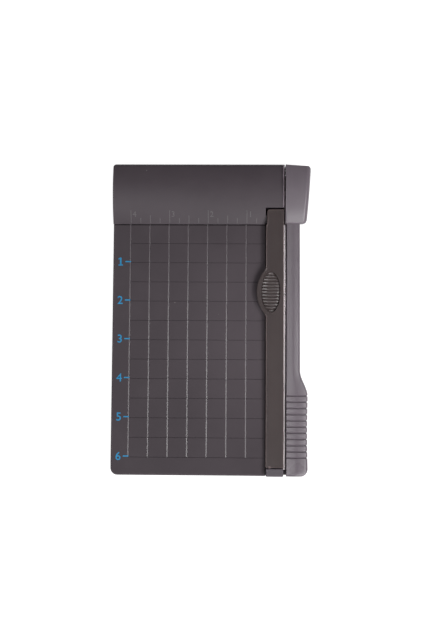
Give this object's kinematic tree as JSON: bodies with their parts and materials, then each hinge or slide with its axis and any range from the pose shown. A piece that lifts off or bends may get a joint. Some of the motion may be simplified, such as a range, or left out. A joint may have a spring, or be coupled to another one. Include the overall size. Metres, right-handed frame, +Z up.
{
  "type": "paper trimmer",
  "caption": "Small lever paper trimmer: ruled bed with an arched ruler head, a sprung press bar with a thumb pad, and a hinged cutting lever with a ribbed grip.",
  "frame": {"origin": "middle of the footprint, at desk level", "axes": "+X right towards the lever, +Y back towards the head and the hinge, +Z up"},
  "size_m": [0.1298, 0.2036, 0.0244],
  "materials": {
    "bed_plastic": "fine moulded grain, dark grey",
    "head_plastic": "fine moulded grain, dark grey",
    "bracket_plastic": "fine moulded grain, dark grey",
    "bar_plastic": "smooth, dark brownish grey",
    "lever_plastic": "fine moulded grain, mid grey",
    "blade_steel": "ground along its length",
    "screw_steel": "zinc plated",
    "spring_steel": "bright drawn wire",
    "bush_brass": "turned",
    "foot_rubber": "matt black"
  },
  "bodies": {
    "base": {"base_tray": "bed_plastic", "head_cover": "head_plastic", "head_screws": "screw_steel", "bed_knife": "blade_steel", "bed_knife_screws": "screw_steel", "bar_bracket": "bracket_plastic", "bracket_screw": "screw_steel", "bar_pin": "screw_steel", "bar_spring": "spring_steel", "pivot_bush": "bush_brass", "arm_stop_pin": "screw_steel", "stop_bumper": "foot_rubber", "foot_front_left": "foot_rubber", "foot_front_right": "foot_rubber", "foot_rear_left": "foot_rubber", "foot_rear_right": "foot_rubber"},
    "press_bar": {"press_bar": "bar_plastic"},
    "arm": {"arm_lever": "lever_plastic", "arm_blade": "blade_steel", "arm_blade_screws": "screw_steel", "pivot_bolt": "screw_steel", "pivot_spring": "spring_steel", "pivot_washer": "screw_steel", "pivot_nut": "screw_steel", "pivot_cap": "lever_plastic"}
  },
  "joints": [
    {"name": "arm_hinge", "type": "hinge", "parent": "base", "child": "arm", "pos_m": [0.0485, 0.08975, 0.0125], "axis": [-1, 0, 0], "range_deg": [0, 60]},
    {"name": "bar_hinge", "type": "hinge", "parent": "base", "child": "press_bar", "pos_m": [0.0382, -0.0988, 0.0148], "axis": [-1, 0, 0], "range_deg": [0, 0.9], "stiffness_Nm_per_rad": 0.5, "springref_deg": -5.73, "deforming": ["bar_spring"]}
  ]
}
